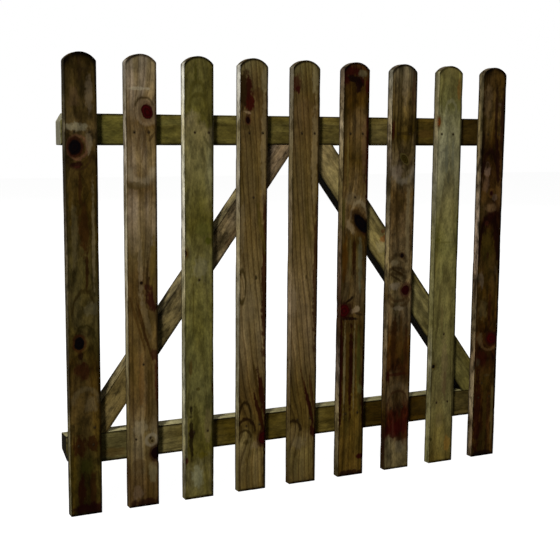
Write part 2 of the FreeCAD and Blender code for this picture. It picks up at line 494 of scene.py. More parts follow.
boardWoods["pale_1"] = {
    "side": [
        (0, 84, 80, 58), (110, 84, 76, 50), (160, 96, 88, 62), (220, 56, 48, 31), (320, 34, 28, 18),
        (400, 60, 54, 38), (480, 78, 70, 52), (560, 66, 58, 44), (640, 34, 28, 16), (700, 26, 20, 12),
        (760, 88, 80, 60), (820, 34, 30, 20), (900, 26, 22, 14)],
    "tones": [
        (0, 42, 32, 8), (90, 50, 42, 14), (200, 56, 44, 20), (290, 38, 28, 9), (350, 50, 44, 22),
        (420, 46, 40, 20), (480, 46, 40, 18), (640, 46, 35, 12), (690, 42, 32, 12), (745, 60, 50, 32),
        (830, 48, 40, 26), (900, 28, 21, 8)],
    "pith": (-4, 22), "lean": (0.01, 0.03), "ring width": 8, "late": 0.4, "mottle": 0.6, "crown border": 13,
    "seed": 1.3,
    "knots": [
        knot(-12, 722, 13, 1.2, 0, (5, 3, 4), (34, 10, 5), 20, True),
        knot(-10, 346, 11, 1.3, 0, (4, 3, 4), (40, 16, 5), 16, True)],
    "stains": [
        arch(-8, 722, 20, 22, 0.2, (84, 58, 40), 0.6), arch(-6, 700, 22, 20, 0.16, (34, 20, 8), 0.6, -1),
        stain(-10, 688, 15, 7, (22, 6, 4), 0.9), stain(-10, 685, 8, 3, (38, 14, 8), 0.6),
        stain(-8, 760, 24, 9, (104, 98, 76), 0.5), stain(14, 730, 7, 22, (96, 84, 62), 0.5),
        stain(-2, 868, 4, 26, (30, 20, 8)), stain(-10, 872, 12, 5, (30, 22, 6)),
        stain(12, 868, 10, 5, (30, 22, 8), 0.6), stain(-14, 815, 12, 22, (58, 44, 26), 0.6),
        stain(-2, 778, 4, 16, (34, 24, 8)), stain(16, 820, 8, 40, (88, 76, 58), 0.4),
        stain(-4, 646, 4, 36, (34, 18, 5), 0.8), stain(3, 565, 11, 60, (38, 22, 5), 0.95),
        stain(7, 485, 4, 50, (28, 14, 3), 0.9), stain(21, 540, 4, 110, (84, 74, 50), 0.6),
        stain(-28, 560, 4, 120, (34, 30, 12), 0.6), stain(-16, 560, 7, 70, (66, 58, 36), 0.5),
        arch(0, 405, 22, 44, 0.16, (30, 22, 5), 0.85, 1), stain(14, 412, 16, 16, (66, 60, 40), 0.5),
        arch(2, 352, 20, 28, 0.16, (30, 24, 5), 0.8, 1), stain(-8, 320, 6, 10, (20, 8, 3), 0.85),
        stain(-4, 290, 18, 18, (32, 14, 4), 0.9), arch(2, 228, 26, 26, 0.3, (72, 62, 40), 0.4, 1),
        stain(12, 222, 14, 20, (68, 58, 38), 0.5), stain(-12, 142, 14, 26, (32, 12, 3), 0.85),
        stain(16, 146, 14, 18, (32, 14, 3), 0.85), stain(2, 100, 14, 16, (44, 42, 10), 0.6),
        stain(-10, 50, 9, 34, (28, 10, 3), 0.95), stain(14, 52, 7, 40, (38, 20, 5), 0.8),
        stain(4, 12, 34, 13, (24, 5, 4), 0.9)],
}

boardWoods["pale_2"] = {
    "side": [
        (0, 72, 56, 32), (80, 48, 30, 10), (130, 96, 84, 50), (240, 100, 88, 58), (320, 115, 106, 78),
        (400, 136, 125, 100), (520, 160, 150, 124), (640, 118, 106, 82), (700, 156, 144, 124),
        (820, 118, 110, 92), (900, 136, 128, 116)],
    "tones": [
        (0, 56, 40, 18), (60, 74, 58, 32), (140, 100, 88, 62), (200, 82, 66, 40), (360, 80, 64, 34),
        (450, 70, 54, 28), (520, 86, 72, 44), (600, 112, 98, 78), (645, 82, 66, 42), (680, 106, 92, 70),
        (770, 82, 66, 40), (840, 116, 103, 84), (900, 100, 91, 74)],
    "pith": (-54, 10), "lean": (0.0, 0.0), "ring width": 12, "waver": 10, "late": 0.4, "band": 0.18,
    "mottle": 0.3, "hue": 0.5, "seed": 2.9,
    "knots": [
        knot(12, 790, 13, 1.3, -18, (42, 4, 4), (80, 64, 44), 18, True),
        knot(-3, 457, 3, 1.0, 0, (20, 12, 4), (44, 32, 14), 3),
        knot(17, 135, 3.5, 1.0, 0, (52, 40, 16), (96, 84, 52), 7), swirl(12, 166, 9, 1.2),
        swirl(19, 440, 13, 3.2, 4, 16), knot(27, 108, 13, 1.1, 0, (12, 2, 2), (26, 5, 3), 8, True)],
    "stains": [
        arch(12, 789, 20, 22, 0.3, (122, 108, 84), 0.4), arch(6, 802, 17, 15, 0.22, (44, 34, 10), 0.7, 1),
        stain(-6, 834, 24, 4, (138, 128, 104), 0.5), stain(12, 752, 5, 5, (48, 34, 14)),
        stain(21, 742, 3, 12, (46, 32, 12), 0.7, 35), stain(-6, 735, 3, 30, (64, 48, 26), 0.6, 12),
        stain(4, 722, 3, 44, (64, 48, 24), 0.6, 10), arch(-2, 680, 24, 26, 0.5, (124, 112, 88), 0.4, -1),
        stain(-12, 648, 24, 8, (58, 46, 20)), stain(-6, 510, 6, 110, (118, 104, 78), 0.3, -2),
        stain(5, 392, 7, 56, (108, 92, 62), 0.3, -14), stain(20, 490, 8, 70, (76, 60, 22), 0.85, 3),
        stain(9, 470, 3, 60, (34, 22, 6), 0.8, 3), stain(-13, 380, 3, 74, (56, 38, 12), 0.7, -16),
        stain(4, 350, 3, 66, (48, 32, 10), 0.8, -18), stain(16, 424, 10, 32, (38, 14, 7), 0.95, -14),
        stain(11, 452, 3, 28, (34, 20, 8), 0.8, 6), stain(-1, 375, 3, 66, (46, 28, 8), 0.8, -14),
        stain(24, 310, 9, 14, (42, 16, 8), 0.8), stain(-4, 262, 6, 60, (88, 62, 28), 0.5),
        stain(10, 235, 3, 60, (52, 38, 12), 0.6), stain(27, 250, 4, 60, (48, 14, 5), 0.8),
        stain(-8, 165, 18, 18, (112, 100, 74), 0.6, 30), arch(16, 137, 11, 11, 0.5, (124, 114, 92), 0.5),
        stain(-12, 88, 14, 14, (56, 40, 16), 0.6), stain(18, 70, 10, 22, (96, 86, 58), 0.6),
        stain(-14, 30, 12, 16, (92, 74, 54), 0.5), stain(0, 8, 34, 9, (26, 10, 5), 0.85)],
}

boardWoods["pale_3"] = {
    "side": [
        (0, 94, 86, 58), (80, 116, 108, 90), (130, 138, 130, 90), (240, 160, 156, 130), (320, 125, 120, 92),
        (400, 138, 128, 92), (480, 175, 165, 130), (560, 204, 197, 176), (700, 190, 185, 160),
        (760, 176, 166, 128), (820, 212, 208, 188), (870, 204, 200, 184), (900, 80, 74, 56)],
    "tones": [
        (0, 78, 72, 36), (60, 86, 80, 50), (110, 70, 64, 22), (220, 82, 78, 42), (360, 94, 90, 46),
        (440, 98, 94, 56), (500, 102, 98, 62), (580, 78, 74, 34), (690, 98, 94, 66), (764, 92, 85, 60),
        (778, 70, 66, 30), (900, 80, 74, 36)],
    "pith": (-4, 20), "lean": (0.0, 0.04), "ring width": 8, "late": 0.25, "band": 0.25, "mottle": 0.4,
    "blotch": 0.2, "hue": 0.5, "seed": 4.1,
    "knots": [knot(-34, 512, 9, 1.0, 0, (40, 22, 4), (66, 50, 16), 6)],
    "stains": [
        stain(-7, 868, 3, 24, (50, 46, 8)), arch(-3, 822, 16, 28, 0.3, (54, 48, 12), 0.6, 1),
        arch(-3, 796, 18, 30, 0.25, (50, 44, 10), 0.6, 1), stain(18, 730, 3, 20, (66, 60, 30), 0.6, -35),
        stain(18, 535, 10, 9, (56, 56, 8), 0.8), stain(2, 480, 18, 26, (104, 98, 70), 0.5),
        stain(-13, 400, 2, 50, (60, 52, 16), 0.6), stain(10, 560, 20, 20, (70, 68, 24), 0.5),
        stain(-19, 275, 4, 18, (56, 40, 12)), stain(-3, 232, 5, 4, (44, 36, 6)),
        stain(29, 228, 3, 14, (44, 14, 6), 0.85), stain(-18, 140, 5, 66, (20, 14, 4), 0.9),
        stain(-17, 140, 8, 12, (22, 12, 4), 0.8), stain(-8, 168, 7, 40, (44, 40, 8), 0.6),
        stain(-29, 140, 4, 60, (104, 98, 70), 0.5), stain(20, 155, 10, 40, (96, 84, 50), 0.5),
        stain(-30, 82, 5, 9, (46, 14, 8), 0.9), stain(7, 92, 12, 8, (66, 58, 6)),
        stain(-4, 48, 14, 26, (104, 102, 76), 0.6), stain(14, 40, 8, 34, (82, 74, 28), 0.5)],
}

# pales 4 and 5 have the same figure
twinBasics = {
    "lean": (-0.08, 0.0), "ring width": 12, "waver": 12, "late": 0.55, "band": 0.2, "mottle": 0.25,
    "blotch": 0.15, "hue": 0.35, "seed": 5.7,
}
boardWoods["pale_4"] = {
    "side": [
        (0, 72, 64, 38), (130, 108, 94, 58), (180, 122, 115, 86), (320, 112, 104, 82), (400, 132, 124, 100),
        (560, 134, 120, 86), (680, 156, 146, 124), (760, 130, 118, 80), (820, 196, 190, 174),
        (870, 190, 186, 172), (900, 80, 74, 56)],
    "tones": [
        (0, 80, 66, 32), (60, 92, 78, 46), (105, 90, 78, 46), (130, 70, 56, 24), (200, 74, 58, 28),
        (330, 96, 82, 54), (430, 98, 84, 55), (560, 90, 74, 42), (680, 80, 66, 36), (760, 78, 63, 36),
        (830, 68, 53, 28), (900, 84, 76, 48)],
    **twinBasics, "pith": (-46, 8),
    "knots": [
        knot(-13, 776, 5, 1.5, 0, (16, 4, 3), (46, 20, 10), 8, True),
        knot(25, 112, 11, 1.5, 14, (42, 5, 4), (32, 10, 5)), swirl(-16, 132, 15, 1.9, 0, -26),
        swirl(-26, 436, 6, 3.2, 0, -12)],
    "stains": [
        stain(-10, 812, 13, 24, (40, 5, 3), 0.95), stain(-13, 842, 9, 28, (34, 8, 4), 0.95),
        stain(8, 830, 12, 14, (48, 30, 12), 0.6), stain(-24, 835, 9, 40, (30, 18, 5), 0.95),
        stain(-14, 792, 9, 3, (112, 92, 66), 0.7, 12), stain(-18, 762, 12, 7, (48, 38, 14), 0.6),
        stain(23, 720, 8, 130, (112, 96, 64), 0.45), stain(14, 860, 3, 46, (56, 44, 16), 0.6, -8),
        stain(24, 860, 8, 30, (100, 90, 60), 0.5), stain(-26, 560, 8, 60, (100, 86, 58), 0.5),
        stain(16, 560, 7, 70, (66, 52, 20), 0.5, -8), stain(7, 455, 3, 7, (30, 24, 6), 0.9),
        stain(27, 450, 9, 210, (40, 18, 5), 0.95), stain(17, 560, 6, 60, (62, 52, 16), 0.6, -10),
        arch(-25, 437, 8, 33, 0.3, (44, 34, 10), 0.9), stain(-6, 400, 14, 50, (98, 84, 56), 0.5),
        arch(-17, 160, 14, 32, 0.22, (28, 18, 4), 0.95, 1),
        arch(-16, 128, 22, 28, 0.24, (25, 13, 3), 0.95, 1),
        arch(-18, 116, 14, 16, 0.3, (34, 24, 6), 0.85, 1), stain(12, 215, 4, 74, (46, 32, 7), 0.85, -10),
        stain(16, 165, 5, 64, (32, 11, 3), 0.95, -16), stain(23, 200, 7, 70, (36, 10, 3), 0.95, -10),
        stain(6, 98, 12, 10, (102, 88, 60), 0.6), stain(-13, 66, 3, 9, (58, 46, 16)),
        stain(29, 50, 5, 60, (30, 14, 4), 0.9), stain(-14, 106, 8, 6, (40, 30, 6))],
}

boardWoods["pale_5"] = {
    "side": [
        (0, 52, 38, 16), (80, 76, 65, 34), (180, 88, 72, 44), (320, 108, 92, 66), (400, 122, 105, 80),
        (480, 100, 84, 54), (560, 116, 100, 75), (700, 110, 96, 64), (820, 105, 97, 78), (900, 92, 86, 72)],
    "tones": [
        (0, 76, 62, 32), (60, 90, 78, 44), (105, 86, 72, 42), (130, 68, 54, 22), (200, 72, 58, 26),
        (330, 97, 81, 54), (430, 102, 86, 58), (560, 86, 71, 40), (680, 80, 66, 36), (750, 80, 64, 36),
        (810, 76, 60, 34), (830, 70, 56, 28), (900, 82, 74, 44)],
    **twinBasics, "pith": (-54, 8),
    "knots": [
        knot(32, 110, 7, 1.4, 14, (36, 6, 4), (44, 16, 8)), swirl(-24, 128, 14, 1.9, 0, -24),
        swirl(-34, 436, 6, 3.2, 0, -12)],
    "stains": [
        stain(-24, 850, 12, 20, (44, 16, 8), 0.8), stain(-20, 840, 6, 10, (38, 5, 5), 0.8),
        stain(-28, 768, 5, 9, (56, 44, 18), 0.6), stain(20, 710, 8, 120, (112, 96, 64), 0.45),
        stain(8, 810, 16, 6, (66, 50, 24), 0.6), stain(7, 860, 3, 46, (58, 46, 18), 0.6, -8),
        stain(20, 862, 8, 30, (100, 90, 60), 0.5), stain(8, 750, 3, 120, (62, 48, 20), 0.6),
        stain(8, 560, 7, 70, (62, 50, 18), 0.6, -8), stain(4, 450, 2, 6, (40, 32, 12), 0.8),
        stain(27, 440, 8, 190, (42, 22, 7), 0.9), stain(-26, 400, 9, 34, (112, 96, 70), 0.5),
        arch(-24, 118, 18, 22, 0.25, (27, 16, 4), 0.9, 1), stain(8, 195, 4, 56, (42, 20, 6), 0.85, -14),
        stain(15, 170, 5, 56, (30, 9, 4), 0.95, -14), stain(22, 115, 6, 16, (34, 8, 5), 0.9),
        stain(22, 190, 4, 56, (42, 18, 6), 0.7, -10), stain(-8, 92, 18, 16, (94, 82, 56), 0.5),
        stain(-17, 66, 3, 9, (58, 46, 16)), stain(28, 60, 4, 70, (36, 20, 6), 0.8)],
}

boardWoods["pale_6"] = {
    "side": [
        (0, 62, 54, 32), (80, 92, 80, 56), (130, 142, 125, 85), (240, 110, 97, 80), (320, 55, 38, 20),
        (400, 72, 50, 34), (480, 100, 82, 62), (640, 98, 84, 48), (700, 136, 120, 85), (760, 152, 136, 105),
        (820, 120, 104, 78), (900, 78, 66, 56)],
    "tones": [
        (0, 74, 56, 20), (130, 74, 58, 20), (230, 62, 48, 18), (340, 62, 46, 18), (400, 78, 64, 40),
        (520, 63, 47, 17), (600, 88, 72, 45), (700, 60, 45, 15), (770, 78, 62, 36), (810, 54, 38, 9),
        (900, 46, 27, 12)],
    "pith": (-74, 8), "lean": (0.005, 0.0), "ring width": 13, "waver": 3, "late": 0.5, "band": 0.35,
    "hue": 0.4, "seed": 7.9,
    "knots": [
        knot(16, 560, 13, 2.2, -38, (4, 3, 4), (34, 20, 6), 18, True),
        knot(-22, 371, 15, 1.1, 30, (46, 4, 4), (22, 5, 3), 14, True)],
    "stains": [
        stain(-14, 880, 22, 14, (34, 8, 4), 0.95), stain(-8, 866, 26, 8, (12, 5, 3), 0.95, 10),
        stain(-26, 862, 8, 12, (34, 6, 3), 0.9), stain(6, 852, 11, 15, (14, 4, 3), 0.95),
        stain(10, 872, 6, 16, (30, 7, 4), 0.8, -30), stain(15, 876, 12, 9, (72, 64, 42)),
        stain(26, 850, 5, 20, (48, 10, 6), 0.8), stain(29, 700, 5, 110, (42, 10, 4), 0.9),
        stain(-19, 690, 3, 60, (86, 72, 34), 0.6), stain(20, 720, 6, 70, (84, 62, 40), 0.5),
        stain(-4, 610, 24, 16, (98, 84, 58), 0.5, 20), arch(10, 572, 20, 34, 0.22, (120, 106, 78), 0.6, 1),
        stain(-9, 552, 9, 22, (110, 94, 66), 0.7, -30), stain(-28, 580, 6, 40, (56, 52, 14)),
        stain(26, 545, 7, 12, (50, 10, 6), 0.85), stain(-22, 480, 8, 60, (58, 34, 4), 0.8),
        stain(1, 490, 5, 44, (36, 18, 3), 0.95), stain(-9, 490, 4, 50, (74, 64, 34)),
        stain(9, 480, 4, 46, (70, 62, 32), 0.6), stain(16, 470, 6, 60, (76, 74, 52), 0.6),
        stain(-12, 392, 16, 4, (14, 6, 3), 0.9, -35), stain(8, 372, 15, 8, (116, 100, 74), 0.8, -20),
        stain(-6, 353, 22, 4, (10, 4, 3), 0.9, 6), stain(14, 362, 12, 3, (30, 18, 8), 0.8, 20),
        stain(-28, 235, 6, 130, (32, 8, 3), 0.95), stain(-19, 245, 3, 110, (104, 92, 58)),
        stain(-3, 245, 6, 115, (28, 7, 2), 0.95), stain(5, 245, 2.5, 110, (92, 80, 50)),
        stain(16, 260, 5, 100, (56, 54, 18)), stain(29, 210, 5, 130, (26, 8, 3), 0.95),
        stain(-12, 250, 4, 100, (60, 40, 10), 0.6), stain(20, 195, 6, 12, (80, 76, 40), 0.6),
        stain(20, 152, 5, 6, (52, 46, 12)), stain(24, 42, 11, 7, (34, 4, 3), 0.95),
        stain(0, 7, 34, 7, (22, 6, 4), 0.85)],
}

boardWoods["pale_7"] = {
    "side": [
        (0, 40, 28, 10), (80, 36, 12, 6), (130, 56, 40, 10), (240, 84, 68, 45), (320, 105, 90, 64),
        (400, 54, 40, 18), (480, 120, 105, 70), (560, 108, 97, 72), (640, 40, 34, 18), (700, 98, 85, 66),
        (760, 152, 136, 104), (820, 120, 110, 88), (900, 104, 100, 86)],
    "tones": [
        (0, 84, 74, 48), (50, 88, 78, 54), (80, 52, 22, 8), (125, 50, 18, 6), (160, 70, 54, 30),
        (195, 78, 62, 36), (225, 50, 26, 8), (290, 76, 50, 16), (360, 88, 74, 50), (440, 106, 91, 60),
        (540, 98, 79, 50), (620, 90, 70, 38), (670, 96, 84, 64), (750, 64, 50, 14), (820, 78, 64, 36),
        (900, 78, 70, 52)],
    "pith": (2, 20), "lean": (0.0, -0.03), "ring width": 8, "late": 0.45, "mottle": 0.6, "hue": 0.25,
    "seed": 9.4,
    "knots": [
        knot(3, 697, 7, 1.8, -40, (42, 34, 6), (62, 54, 24), 12),
        knot(3, 485, 5, 1.2, 0, (12, 5, 4), (48, 34, 18), 10, True),
        knot(14, 408, 11, 1.2, 10, (32, 4, 4), (46, 22, 14), 16, True)],
    "stains": [
        stain(-28, 760, 5, 24, (42, 8, 4), 0.8), stain(4, 752, 22, 4, (36, 26, 6)),
        arch(0, 678, 26, 30, 0.35, (104, 94, 76), 0.6, -1), stain(-14, 668, 14, 16, (106, 92, 74), 0.6),
        stain(24, 845, 6, 46, (60, 38, 20), 0.6), stain(2, 850, 8, 50, (86, 74, 54), 0.4),
        stain(15, 560, 6, 110, (106, 92, 62)), stain(-14, 590, 10, 50, (44, 30, 8), 0.6),
        # the first mark below, a dark strip down the right edge (x 30), is painted shade on the right arris
        stain(30, 560, 3, 180, (26, 14, 4), 0.8), arch(-6, 471, 19, 17, 0.45, (42, 30, 12), 0.7, 1),
        arch(-14, 446, 24, 12, 0.5, (38, 26, 9), 0.75, 1),
        arch(-14, 434, 24, 12, 0.45, (40, 28, 10), 0.7, 1), stain(-16, 470, 12, 7, (104, 92, 66), 0.6),
        stain(-6, 448, 20, 3, (36, 24, 6), 0.9, 30), stain(-12, 436, 18, 3, (38, 26, 8), 0.8, 30),
        stain(-16, 418, 15, 10, (108, 96, 76)), arch(-4, 400, 24, 16, 0.34, (46, 30, 10), 0.75, -1),
        arch(-4, 388, 24, 18, 0.3, (50, 34, 12), 0.7, -1), stain(-2, 368, 16, 6, (108, 96, 74), 0.6),
        stain(-12, 325, 8, 26, (36, 20, 4), 0.85), stain(4, 300, 6, 60, (72, 48, 16), 0.5),
        stain(-14, 290, 8, 50, (44, 24, 6), 0.75), stain(18, 270, 7, 60, (52, 26, 8), 0.6),
        stain(-28, 215, 7, 16, (34, 4, 2), 0.9), stain(-2, 218, 28, 5, (40, 12, 4)),
        arch(0, 160, 26, 34, 0.3, (78, 64, 42), 0.45, 1), arch(0, 150, 26, 30, 0.15, (40, 22, 8), 0.7, 1),
        stain(-3, 165, 5, 14, (40, 26, 6)), stain(-8, 92, 26, 26, (38, 5, 3), 0.9),
        stain(-11, 100, 3, 22, (60, 28, 18), 0.5), stain(18, 96, 12, 20, (44, 8, 5), 0.8),
        stain(6, 50, 18, 14, (96, 86, 62), 0.5, 30)],
}

boardWoods["pale_8"] = {
    "side": [
        (0, 110, 105, 66), (130, 130, 122, 80), (180, 98, 92, 60), (240, 136, 130, 100),
        (320, 110, 102, 58), (400, 118, 112, 72), (560, 102, 96, 66), (640, 115, 110, 88),
        (780, 130, 118, 84), (900, 108, 103, 74)],
    "tones": [
        (0, 78, 66, 26), (60, 92, 82, 42), (130, 104, 96, 56), (160, 94, 86, 50), (300, 92, 86, 47),
        (360, 104, 97, 55), (460, 97, 91, 50), (505, 89, 85, 46), (600, 118, 112, 75), (700, 121, 118, 91),
        (760, 123, 120, 90), (810, 95, 92, 52), (900, 88, 80, 44)],
    "pith": (-2, 24), "lean": (0.0, 0.035), "ring width": 9, "late": 0.35, "band": 0.35, "mottle": 0.35,
    "streak": 0.16, "blotch": 0.2, "hue": 0.3, "seed": 11.2,
    "knots": [
        knot(-31, 778, 6, 1.7, 0, (104, 52, 14), (86, 60, 24), 6),
        knot(-25, 227, 4.5, 1.1, 0, (8, 5, 3), (60, 50, 18), 6, True)],
    "stains": [
        stain(22, 850, 6, 26, (92, 62, 24), 0.6), arch(2, 800, 14, 24, 0.3, (112, 108, 78), 0.5, 1),
        stain(0, 658, 4, 18, (60, 58, 40)), stain(-6, 700, 5, 46, (84, 84, 66), 0.6),
        stain(10, 705, 4, 40, (88, 88, 70), 0.5), stain(-24, 516, 6, 5, (62, 58, 18)),
        stain(0, 510, 30, 2.5, (76, 70, 30), 0.6), stain(28, 540, 4, 40, (62, 62, 18), 0.6),
        stain(-6, 340, 5, 34, (78, 64, 34), 0.5), stain(4, 230, 9, 90, (92, 78, 50), 0.6),
        stain(6, 176, 6, 34, (74, 58, 34), 0.6), stain(18, 42, 10, 20, (112, 82, 30), 0.6),
        stain(-28, 56, 4, 5, (40, 34, 8), 0.8), stain(-6, 98, 12, 20, (90, 78, 46), 0.5)],
}

boardWoods["pale_9"] = {
    "side": [
        (0, 82, 68, 48), (80, 98, 84, 60), (150, 140, 124, 94), (240, 114, 95, 68), (320, 90, 78, 54),
        (400, 76, 62, 44), (480, 124, 105, 86), (560, 106, 92, 76), (640, 84, 72, 54), (760, 92, 80, 50),
        (900, 74, 66, 48)],
    "tones": [
        (0, 50, 34, 10), (100, 54, 32, 10), (190, 56, 40, 14), (230, 42, 20, 6), (330, 60, 42, 16),
        (430, 52, 38, 16), (500, 34, 24, 4), (560, 24, 8, 3), (600, 52, 38, 20), (660, 46, 32, 18),
        (720, 30, 18, 6), (770, 52, 39, 17), (820, 46, 34, 14), (900, 42, 30, 12)],
    "pith": (-4, 18), "lean": (0.01, 0.02), "ring width": 12, "late": 0.6, "mottle": 0.65, "streak": 0.16,
    "crown border": 11, "seed": 13.6,
    "knots": [
        knot(14, 280, 14, 1.1, 0, (46, 3, 3), (28, 6, 4), 16, True),
        knot(-13, 682, 4, 1.6, 0, (40, 26, 12), (60, 44, 30), 10),
        knot(0, 618, 4, 1.3, 0, (26, 6, 4), (50, 26, 16), 8)],
    "stains": [
        stain(-18, 820, 12, 50, (72, 57, 36), 0.5), stain(7, 790, 5, 76, (24, 12, 4), 0.95),
        stain(14, 695, 7, 66, (20, 7, 3), 0.95, -6), stain(16, 818, 5, 5, (70, 54, 40), 0.5),
        stain(24, 780, 6, 70, (24, 9, 4), 0.85), arch(-6, 658, 21, 54, 0.24, (18, 6, 3), 0.95, 1),
        stain(-14, 670, 12, 14, (88, 70, 56), 0.6), stain(-16, 640, 10, 20, (70, 52, 38), 0.5),
        stain(9, 608, 10, 9, (74, 58, 44), 0.6), stain(-2, 585, 18, 12, (76, 58, 36), 0.5),
        arch(0, 468, 30, 94, 0.22, (16, 4, 2), 0.95, 1), stain(-10, 549, 6, 6, (48, 20, 12), 0.5),
        stain(23, 490, 8, 60, (18, 5, 2), 0.95, -12), stain(-8, 505, 14, 40, (44, 34, 8), 0.6),
        stain(-5, 474, 4, 8, (34, 18, 6), 0.8), stain(-20, 418, 10, 20, (74, 62, 46), 0.6),
        stain(20, 440, 5, 14, (60, 46, 30), 0.5), stain(-12, 350, 12, 30, (76, 64, 36), 0.5),
        stain(6, 350, 5, 46, (38, 14, 5)), stain(-19, 280, 10, 15, (72, 58, 34), 0.6),
        arch(8, 276, 24, 22, 0.25, (78, 58, 32), 0.6, -1), stain(-10, 235, 16, 22, (38, 10, 4)),
        stain(-22, 225, 7, 12, (62, 52, 34), 0.5), stain(4, 194, 8, 4, (56, 46, 26), 0.5),
        stain(-20, 110, 11, 120, (28, 7, 3), 0.9), stain(2, 100, 7, 90, (56, 42, 12), 0.6),
        stain(10, 90, 3, 80, (44, 24, 8)), stain(22, 110, 4, 90, (76, 66, 34), 0.6),
        # the near-black strip down the right edge (x 30) is painted shade on the right arris
        stain(30, 450, 4, 500, (10, 6, 3), 0.9), stain(0, 7, 34, 7, (14, 6, 4), 0.85)],
}

# rails: along from the middle; across, minus is up
railBasics = {
    "ring width": 10, "late": 0.18, "band": 0.25, "mottle": 0.4, "blotch": 0.25, "hue": 0.4,
    # the top and bottom faces are painted lighter than the front, after the lit top face, so partly painted
    # light
    "edge shade": (0.9, 0.9), "side": [(-520, 112, 106, 76), (520, 92, 86, 56)], "side patches": 0.2,
}

boardWoods["top_rail"] = {
    **railBasics, "end": (126, 122, 102),
    "tones": [
        (-520, 92, 90, 62), (-430, 82, 78, 38), (-200, 82, 76, 38), (0, 82, 73, 34), (200, 88, 78, 42),
        (290, 72, 58, 20), (420, 48, 36, 10), (520, 46, 34, 12)],
    "pith": (10, -40), "lean": (0.0, 0.02), "seed": 17.3,
    "stains": [
        stain(8, 100, 6, 30, (66, 56, 22), 0.4), stain(8, -240, 10, 60, (64, 56, 20), 0.5),
        stain(4, 300, 10, 26, (62, 44, 16), 0.6), stain(-20, -60, 8, 30, (52, 44, 12), 0.5)],
}

boardWoods["bottom_rail"] = {
    **railBasics, "end": (5, 3, 1),
    "tones": [
        (-520, 76, 70, 44), (-420, 76, 70, 40), (-300, 88, 80, 48), (-180, 62, 52, 16), (-60, 64, 54, 20),
        (60, 80, 70, 32), (180, 48, 35, 6), (300, 52, 37, 6), (420, 74, 64, 32), (520, 60, 50, 26)],
    "pith": (-8, -36), "lean": (0.0, -0.02), "seed": 19.1,
    "stains": [
        stain(0, 300, 16, 60, (44, 32, 8), 0.5), stain(14, -420, 10, 40, (66, 48, 18), 0.5),
        stain(-10, -240, 12, 30, (54, 46, 20), 0.5)],
}

# braces: along from the middle, minus is towards the foot
braceBasics = {
    "ring width": 7, "late": 0.25, "band": 0.3, "mottle": 0.75, "blotch": 0.3, "hue": 0.3,
    "edge shade": (0.7, 0.7), "side patches": 0.2,
}

boardWoods["left_brace"] = {
    **braceBasics,
    # the sides are painted about as dark as the face, painted shade that keeps the lit upper side from
    # showing lighter
    "side": [(-350, 86, 76, 50), (350, 98, 88, 60)],
    "tones": [
        (-350, 96, 82, 48), (-120, 80, 70, 42), (0, 90, 82, 62), (120, 104, 91, 66), (350, 104, 89, 71)],
    "pith": (4, -34), "lean": (0.0, 0.03), "seed": 23.7,
    "knots": [knot(4, 6, 5, 1.2, 0, (74, 66, 44), (124, 116, 94), 12), swirl(-12, 30, 12, 1.5, 0, 12)],
    "stains": [
        stain(-6, -18, 12, 12, (52, 42, 18)), stain(12, -30, 7, 9, (120, 110, 88), 0.6),
        stain(-10, 20, 7, 10, (58, 48, 24)), stain(8, 26, 7, 12, (126, 116, 90), 0.6),
        stain(14, 2, 5, 16, (40, 32, 14)), stain(16, 150, 6, 60, (68, 50, 30), 0.6)],
}

boardWoods["right_brace"] = {
    **braceBasics,
    # the sides are painted near black as painted shade: the lower side is turned away from the key light
    "side": [(-350, 30, 25, 17), (350, 24, 20, 12)], "side patches": 0.0,
    "tones": [
        (-350, 84, 78, 38), (-60, 100, 92, 56), (120, 106, 96, 60), (220, 112, 102, 66),
        (350, 130, 116, 82)],
    "pith": (-6, -34), "lean": (0.0, -0.03), "mottle": 0.4, "seed": 29.9,
    "stains": [
        stain(12, 92, 12, 8, (100, 58, 24)), stain(20, 106, 6, 6, (70, 34, 14)),
        stain(-4, 80, 12, 16, (122, 112, 78), 0.5), stain(18, 240, 5, 30, (56, 42, 12)),
        stain(-14, -200, 12, 40, (74, 72, 50), 0.5)],
}


# wood material

woodFinish = {
    "tone wander": 110 * mm,            # how far the blotches carry the tones up and down a board
    "side wander": 50 * mm,
    "speck": 0.16,
    "warm": (255, 250, 240), "yellow": (240, 222, 130),
    "halo": (190, 158, 120), "halo amount": 0.5,
    "rim amount": 0.75, "knot lines": (10, 4, 3), "knot line amount": 0.6,
    "shadeAndGrime": (48, 34, 24),              # painted shade and dirt along the edges; a pair is where it is full and where it ends
    "left shade and grime": (1.5 * mm, 5 * mm), "right shade and grime": (2.5 * mm, 7 * mm),
    "crown shade and grime": 2.5 * mm, "crown reach": 30 * mm,
    "foot shade and grime": (2.5 * mm, 8 * mm), "end shade and grime amount": 0.95,
    "crack": (120, 100, 80), "crack amount": 0.25,
    "back line": (24, 17, 8), "back line reach": (3 * mm, 7 * mm), "back line amount": 0.75,
    "end amount": 0.95, "end rings": (26, 18, 9), "end ring amount": 0.6,
    "bump": 0.55, "bump depth": 0.7 * mm,
    "roughness": 0.74, "roughness wander": 0.25, "specular": 0.008,
}
nailMark = {"radius": 2.8 * mm, "amount": 0.4, "colour": (24, 17, 8)}
nailReach = 8 * mm      # corners nearer than this belong to the same nail


def nailHeads(node):
    # the middle of each nail head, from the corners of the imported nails
    spots = []
    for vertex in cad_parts[node].data.vertices:
        corner = (vertex.co.x, vertex.co.z)
        near = [spot for spot in spots if math.dist(spot[0], corner) < nailReach]
        if near:
            near[0].append(corner)
        else:
            spots.append([corner])
    heads = []
    for corners in spots:
        xs, zs = zip(*corners)
        heads.append(((min(xs) + max(xs)) / 2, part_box(node)[0].y, (min(zs) + max(zs)) / 2))
    return heads


nailNodes = ("top_rail_nails", "bottom_rail_nails", "left_brace_nails", "right_brace_nails")
nailSpots = {node: nailHeads(node) for node in nailNodes}


